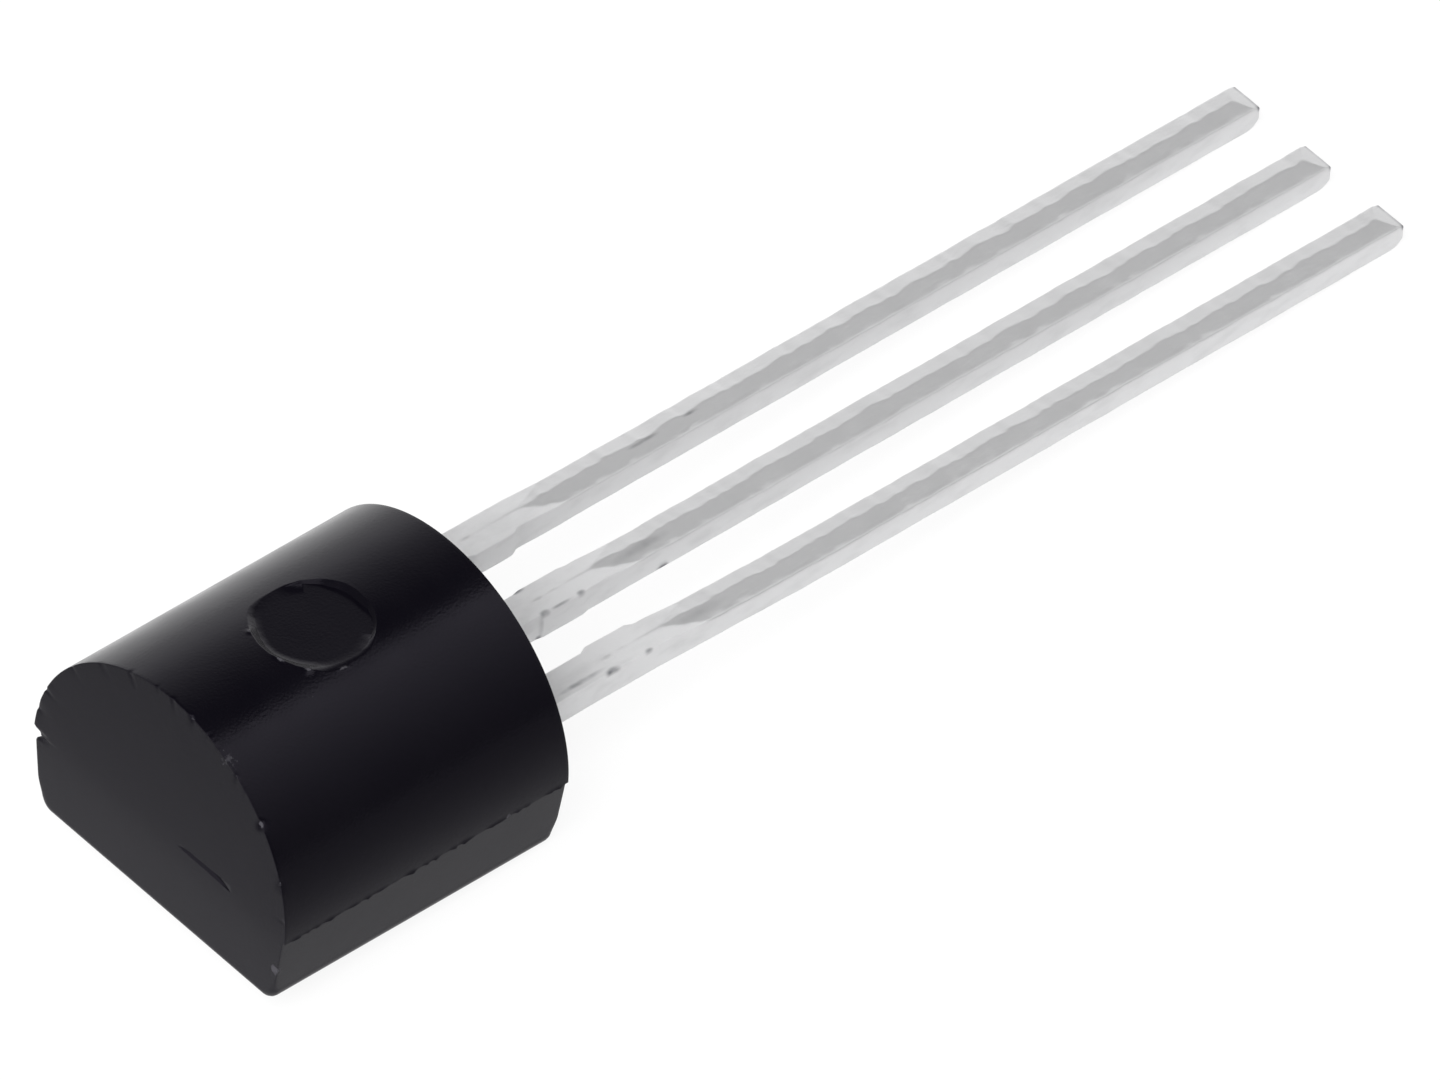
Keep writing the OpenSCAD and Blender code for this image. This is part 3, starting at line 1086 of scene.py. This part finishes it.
    def wear_and_light(self, points: np.ndarray) -> tuple[np.ndarray, np.ndarray]:
        """Bruises the lead at its dents and its cut end, paints its shade streaks, and ripples it all by a
        few micrometres.

        The edge between the roof and the -Y side also wanders up and down. A dark mark falls off
        smoothly from its middle, or from the top edge of the cut end, and noise makes it ragged.

        Args:
            points: Rows of points, with Y from the lead's own middle.

        Returns:
            The moved points, and how dark each is painted, by bruises and by painted shade.
        """
        x, y, z = np.moveaxis(points, -1, 0)
        side, up = (
            lattice_noise(points, size, seed + self.place.value) for size, seed in self.ripple_noises
        )
        moved = points + self.ripple * np.stack([np.zeros_like(x), side, up], axis=-1)
        edge = falloff(np.hypot(y + self.width / 2, z - self.top + self.coin_drop), self.edge_reach)
        moved[..., 2] += self.edge_wander * edge * lattice_noise(points * (1, 0, 0), *self.edge_noise)
        rim = falloff(np.hypot(x - self.length, z - (self.top - self.hip_drop)), self.tip_reach)
        corner = falloff(np.maximum(self.width / 2 - np.abs(y), 0), self.tip_corner_reach)
        wear_and_light_mark = self.tip_bruise * rim * (0.5 + corner) * (1 + 0.5 * lattice_noise(points, *self.tip_noise))
        wear_and_light_mark = np.clip(wear_and_light_mark, 0, 1)
        ragged = 1 + self.dark_ragged * lattice_noise(points, *self.dark_noise)
        for dark_mark in self.nicks_and_shade:
            height = self.parting_h + dark_mark.height * self.thickness
            off = points - np.array([dark_mark.x, dark_mark.across * self.width / 2, height])
            near = falloff(np.linalg.norm(off * (dark_mark.width / dark_mark.length, 1, 1), axis=-1), dark_mark.width)
            moved += np.array([0, 0.7, -0.7]) * (near * dark_mark.depth)[..., None]
            wear_and_light_mark = np.maximum(wear_and_light_mark, np.clip(dark_mark.dark * near * ragged, 0, 1))
        return moved, wear_and_light_mark

    def build(self, name: str, node: str, placement: Placement,
              finish: bpy.types.Material) -> bpy.types.Object:
        """Makes the lead as one closed surface.

        The third lead is bowed a little towards +Y just outside the case.

        Args:
            name: The piece's name.
            node: The node that it stands for.
            placement: How the part lies.
            finish: The lead's material.

        Returns:
            The lead.
        """
        rows, wear_and_light_mark = self.wear_and_light(self.rows())
        pressed = self.pressed(rows)
        bow = self.bow if self.place is LeadPlace.THIRD else 0.0
        bent = bow * falloff(rows[..., 0] - self.stub_start, self.bow_reach)
        rows[..., 1] += self.place.value * self.pitch + bent
        count, columns = rows.shape[:2]
        index = np.arange(count * columns).reshape(count, columns)
        poles = count * columns
        ends = [rows[0].mean(axis=0), rows[-1].mean(axis=0)]
        points = np.concatenate([rows.reshape(-1, 3), ends])
        faces = [
            loft_quads(count, columns).reshape(-1, 4),
            fan(index[0][::-1], poles),
            fan(index[-1], poles + 1),
        ]
        marks = {"wear_and_light_mark": np.append(wear_and_light_mark, [0, 0]), "pressed": np.append(pressed, [0, 0])}
        piece = mesh_piece(name, placement.to_frame(points), faces, finish, marks, self.sharp_deg)
        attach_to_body(piece, "root")
        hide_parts(node)
        return piece


@dataclass
class Leadframe:
    """The three leads, as the tie bar's cut leaves them."""

    # Both marks on the first lead are flat dark streaks along its ridge: painted shade.
    first_shade_streaks: tuple[NickAndShade, ...] = (
        NickAndShade(4.15, 0.30, 0.035, 0.0, 0.7, across=-0.2),
        NickAndShade(4.90, 0.15, 0.030, 0.0, 0.6, across=-0.15),
    )
    centre_nicks_and_shade: tuple[NickAndShade, ...] = (
        NickAndShade(1.36, 0.10, 0.06, 0.006, 0.85),
        NickAndShade(1.60, 0.25, 0.03, 0.002, 0.5),
        NickAndShade(1.91, 0.08, 0.05, 0.006, 0.8),
        NickAndShade(1.27, 0.06, 0.05, 0.004, 0.8, height=0.05),
        # A flat dark line down the side at the stub's step: painted shade.
        NickAndShade(1.30, 0.05, 0.20, 0.0, 0.28, height=0.5),
        NickAndShade(1.33, 0.13, 0.04, 0.003, 0.8, across=1.0),
        # A flat dark patch on the front slope where coining starts: painted shade.
        NickAndShade(2.95, 0.55, 0.09, 0.0, 0.35, across=-0.35),
        NickAndShade(3.20, 0.12, 0.07, 0.004, 0.9, height=0.05),
    )
    third_nicks_and_shade: tuple[NickAndShade, ...] = (
        # A dark streak along the top's front edge by the case: painted shade.
        NickAndShade(0.95, 0.45, 0.05, 0.003, 0.6, across=-0.6),
        NickAndShade(1.36, 0.14, 0.08, 0.010, 1.0),
        NickAndShade(1.91, 0.08, 0.05, 0.006, 0.8),
        # A flat dark patch on the front slope where coining starts: painted shade.
        NickAndShade(2.80, 0.50, 0.09, 0.0, 0.25, across=-0.35),
    )

    def build(self, placement: Placement, finish: bpy.types.Material) -> list[bpy.types.Object]:
        """Makes the three leads.

        Args:
            placement: How the part lies.
            finish: The leads' material.

        Returns:
            The leads, from the first to the third.
        """
        leads = [
            (1, LeadPlace.FIRST, self.first_shade_streaks),
            (2, LeadPlace.CENTRE, self.centre_nicks_and_shade),
            (3, LeadPlace.THIRD, self.third_nicks_and_shade),
        ]
        return [Lead(place, nicks_and_shade).build(f"tinned_lead_{number}", f"lead_{number}", placement, finish)
                for number, place, nicks_and_shade in leads]


@dataclass
class SealedPieces:
    """The die, its attach and its bond wires, which keep their own shape and get their finish."""

    silicon: InnerFinish = InnerFinish("polished_silicon", ("#4A4E5A", "#5C6170"), 0.6, 0.15, 0.05)
    attach: InnerFinish = InnerFinish("silver_filled_epoxy", ("#A9A9A4", "#C6C6C0"), 0.7, 0.45, 0.02)
    gold: InnerFinish = InnerFinish("drawn_gold_wire", ("#D9AE4A", "#EBC566"), 1.0, 0.25, 0.03)

    def dress(self) -> None:
        """Gives each sealed piece its finish."""
        gold = self.gold.make()
        finishes = {
            "silicon_die": self.silicon.make(),
            "die_attach": self.attach.make(),
            "bond_wire_1": gold,
            "bond_wire_3": gold,
        }
        for node, finish in finishes.items():
            for material_slot in frame["nodes"][node].material_slots:
                material_slot.material = finish
            log.info("dressed %s in %s", node, finish.name)


@dataclass
class Softbox:
    """A flat rectangular studio lamp that faces the part, with its sizes in metres.

    Neither the camera nor a reflection shows it, so its glare doesn't clip on the bright leads.
    """

    name: str
    azimuth_deg: float
    elevation_deg: float
    distance: float
    size: tuple[float, float]
    brightness: float

    def build(self, target: Vector) -> bpy.types.Object:
        """Hangs the lamp. Its power is 4 times its area times its brightness.

        Args:
            target: The place that it faces.

        Returns:
            The lamp.
        """
        a, e = math.radians(self.azimuth_deg), math.radians(self.elevation_deg)
        towards = Vector((math.cos(a) * math.cos(e), math.sin(a) * math.cos(e), math.sin(e)))
        data = bpy.data.lights.new(self.name, "AREA")
        data.shape = "RECTANGLE"
        data.size, data.size_y = self.size
        data.energy = 4 * self.size[0] * self.size[1] * self.brightness
        lamp = bpy.data.objects.new(self.name, data)
        lamp.location = target + towards * self.distance
        lamp.rotation_euler = towards.to_track_quat("Z", "Y").to_euler()
        lamp.visible_camera = False
        lamp.visible_glossy = False
        bpy.context.scene.collection.objects.link(lamp)
        return lamp


@dataclass
class Studio:
    """A white table with pale walls behind the part and to its left, a skylight and a soft key lamp."""

    table_size: float = 4.0
    table_colour: str = "#F0F0F0"
    backdrop_share: float = 0.90
    pool_half: tuple[float, float] = (9.0, 2.2)
    pool_reach: float = 3.0
    pool_glow: tuple[float, float] = (0.11, 0.60)
    back_start: tuple[float, float] = (1.5, 3.0)
    back_end: tuple[float, float] = (-9.5, -8.0)
    back_lift: float = 0.42
    room_glow: float = 0.03
    wall_side: tuple[float, float] = (0.05, 0.35)
    wall_fade: tuple[float, float] = (0.78, 0.27)
    wall_glow: float = 0.85
    skylight_edge: tuple[float, float] = (-0.03, -0.07)
    skylight_fade: tuple[float, float] = (-0.93, -0.07)
    skylight_glow: float = 1.00
    left_edge: tuple[float, float] = (0.0, -0.3)
    left_glow: float = 0.75
    lamps: tuple[Softbox, ...] = (
        Softbox("left_key", 198, 55, 0.40, (0.36, 0.36), 5.5),
    )

    def table_finish(self) -> bpy.types.Material:
        """Builds the table's white laminate: plain and matte, and white to the camera.

        Light Path's camera, glossy and transmission rays see a share of plain white mixed in. In
        reflections that white falls off on the camera's side, towards -X and -Y: with d the distance
        past the part on that side and r the reach of the light, it fades with exp(-d / r). Behind
        the part it's a little brighter, near the pale wall.

        Returns:
            The material.
        """
        material = bpy.data.materials.new("white_laminate")
        tree = start_nodes(material)
        path = add_node(tree, "LightPath").outputs
        seen = path["Is Camera Ray"]
        for ray in ("Is Glossy Ray", "Is Transmission Ray"):
            seen = add_node(tree, "Math", {"operation": "MAXIMUM"}, {0: seen, 1: path[ray]}).outputs[0]
        share = add_node(tree, "Math", {"operation": "MULTIPLY", 1: self.backdrop_share},
                         {0: seen}).outputs[0]
        place = add_node(tree, "TexCoord").outputs["Object"]
        edge = (-self.pool_half[0] * MM, -self.pool_half[1] * MM, 0)
        past = add_node(tree, "VectorMath", {"operation": "SUBTRACT", 0: edge}, {1: place}).outputs[0]
        past = add_node(tree, "VectorMath", {"operation": "MAXIMUM", 1: (0, 0, 0)}, {0: past}).outputs[0]
        distance = add_node(tree, "VectorMath", {"operation": "LENGTH"}, {0: past}).outputs["Value"]
        power = add_node(tree, "Math", {"operation": "MULTIPLY", 1: -1 / (self.pool_reach * MM)},
                         {0: distance}).outputs[0]
        pool = add_node(tree, "Math", {"operation": "EXPONENT"}, {0: power}).outputs[0]
        pool = add_node(tree, "MapRange", {"To Min": self.pool_glow[0], "To Max": self.pool_glow[1]},
                        {"Value": pool}).outputs[0]
        across = add_node(tree, "SeparateXYZ", {}, {0: place}).outputs
        spans = ((self.back_end, self.back_lift, "X"), (self.back_start, 1.0, "Y"))
        beside, behind = (
            add_node(tree, "MapRange", {"From Min": start * MM, "From Max": end * MM, "To Max": lift},
                     {"Value": across[axis]}).outputs[0]
            for (start, end), lift, axis in spans
        )
        pool = add_node(tree, "Math", {"operation": "MULTIPLY_ADD"},
                        {0: beside, 1: behind, 2: pool}).outputs[0]
        glow = add_node(tree, "Mix", {"data_type": "FLOAT", 3: 1.0},
                        {0: path["Is Camera Ray"], 2: pool}).outputs[0]
        matte = add_node(tree, "BsdfDiffuse", {"Color": linear(self.table_colour)}).outputs[0]
        white = add_node(tree, "Emission", {"Color": (1, 1, 1, 1)}, {"Strength": glow}).outputs[0]
        mixed = add_node(tree, "MixShader", {}, {0: share, 1: matte, 2: white}).outputs[0]
        add_node(tree, "OutputMaterial", {}, {"Surface": mixed})
        return material

    def table(self, height: float) -> bpy.types.Object:
        """Lays the table's flat top, a square grid at one height.

        Args:
            height: Where the part's lowest point lies, in metres.

        Returns:
            The table's top, marked as stage.
        """
        x, y = np.meshgrid(*[np.linspace(-0.5, 0.5, 3) * self.table_size] * 2, indexing="ij")
        points = np.stack([x, y, np.full_like(x, height)], axis=-1).reshape(-1, 3)
        row, column = np.meshgrid([0, 1], [0, 1], indexing="ij")
        corner = row * 3 + column
        faces = np.stack([corner, corner + 3, corner + 4, corner + 1], axis=-1).reshape(-1, 4)
        mesh = bpy.data.meshes.new("table_top")
        mesh.from_pydata(points.tolist(), [], faces.tolist())
        mesh.materials.append(self.table_finish())
        top = bpy.data.objects.new("table_top", mesh)
        bpy.context.scene.collection.objects.link(top)
        top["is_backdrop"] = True
        return top

    def surroundings(self) -> bpy.types.World:
        """Builds the world: white where the camera sees it, and otherwise a room with a pale wall.

        The wall stands on the +Y side, is brightest at the horizon and fades with the ray's own Z.
        The skylight starts at a straight edge overhead and fades away from it, with the ray's own Y.
        A second pale wall, on the left towards -X, shows where it is brighter than those two.

        Returns:
            The world.
        """
        world = bpy.data.worlds.new("studio_room")
        tree = start_nodes(world)
        ray = add_node(tree, "TexCoord").outputs["Generated"]
        way = add_node(tree, "SeparateXYZ", {}, {0: ray}).outputs
        spans = (
            (self.wall_side, 1.0, "Y"),
            (self.wall_fade, self.wall_glow, "Z"),
            (self.skylight_edge, 1.0, "Y"),
            (self.skylight_fade, self.skylight_glow, "Y"),
            (self.left_edge, self.left_glow, "X"),
        )
        beyond, wall, open_sky, sky, left = (
            add_node(tree, "MapRange", {"From Min": start, "From Max": end, "To Max": glow},
                     {"Value": way[axis]}).outputs[0]
            for (start, end), glow, axis in spans
        )
        room = add_node(tree, "Math", {"operation": "MULTIPLY_ADD", 2: self.room_glow},
                        {0: beyond, 1: wall}).outputs[0]
        room = add_node(tree, "Math", {"operation": "MULTIPLY_ADD"},
                        {0: open_sky, 1: sky, 2: room}).outputs[0]
        room = add_node(tree, "Math", {"operation": "MAXIMUM"}, {0: room, 1: left}).outputs[0]
        seen = add_node(tree, "LightPath").outputs["Is Camera Ray"]
        strength = add_node(tree, "Mix", {"data_type": "FLOAT", 3: 1.0}, {0: seen, 2: room}).outputs[0]
        light = add_node(tree, "Background", {"Color": (1, 1, 1, 1)}, {"Strength": strength}).outputs[0]
        add_node(tree, "OutputWorld", {}, {"Surface": light})
        return world

    def build(self, height: float) -> None:
        """Sets up the table, the lamps and the world.

        Args:
            height: Where the part's lowest point lies, in metres.
        """
        scene = bpy.context.scene
        scene.view_settings.view_transform = "Standard"
        scene.world = self.surroundings()
        self.table(height)
        for lamp in self.lamps:
            lamp.build(Vector((0, 0, height)))
            log.info("hung %s", lamp.name)


@dataclass(frozen=True)
class PhotoCamera:
    """The photograph's view: a long lens, from the side away from the leads and well above."""

    azimuth_deg: float = -41.26
    elevation_deg: float = 47.55
    distance: float = 450.0
    frame_width: float = 16.82
    right_shift: float = -0.267
    up_shift: float = 0.064
    sensor: float = 36.0
    clip_m: tuple[float, float] = (0.01, 10.0)

    def build(self) -> bpy.types.Object:
        """Places the camera.

        Its lens is the sensor width times the distance over the width of the view at the target,
        which lies off the frame's origin by the two shifts, along the view's own right and up.

        Returns:
            The camera, set as the scene's.
        """
        a, e = math.radians(self.azimuth_deg), math.radians(self.elevation_deg)
        back = Vector((math.sin(a) * math.cos(e), -math.cos(a) * math.cos(e), math.sin(e)))
        right = Vector((math.cos(a), math.sin(a), 0))
        up = back.cross(right)
        data = bpy.data.cameras.new("photo_camera")
        data.sensor_width = self.sensor
        data.lens = self.sensor * self.distance / self.frame_width
        data.clip_start, data.clip_end = self.clip_m
        camera = bpy.data.objects.new("photo_camera", data)
        place = (right * self.right_shift + up * self.up_shift + back * self.distance) * MM
        camera.matrix_world = Matrix.Translation(place) @ Matrix((right, up, back)).transposed().to_4x4()
        bpy.context.scene.collection.objects.link(camera)
        bpy.context.scene.camera = camera
        return camera


def main() -> None:
    """Builds the camera, the studio and the part."""
    logging.basicConfig(level=logging.INFO, format="%(name)s: %(message)s")
    low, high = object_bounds()
    PhotoCamera().build()
    Studio().build(low.z)
    case = MouldedCase()
    placement = Placement.of_flat_face(frame["record"], case.case_l)
    pieces = [case.build(placement, MouldedEpoxy().make())]
    pieces += Leadframe().build(placement, MatteTin().make())
    for piece in pieces:
        log.info("built %s with %d faces", piece.name, len(piece.data.polygons))
    SealedPieces().dress()
    low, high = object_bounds()


if __name__ == "__main__":
    main()
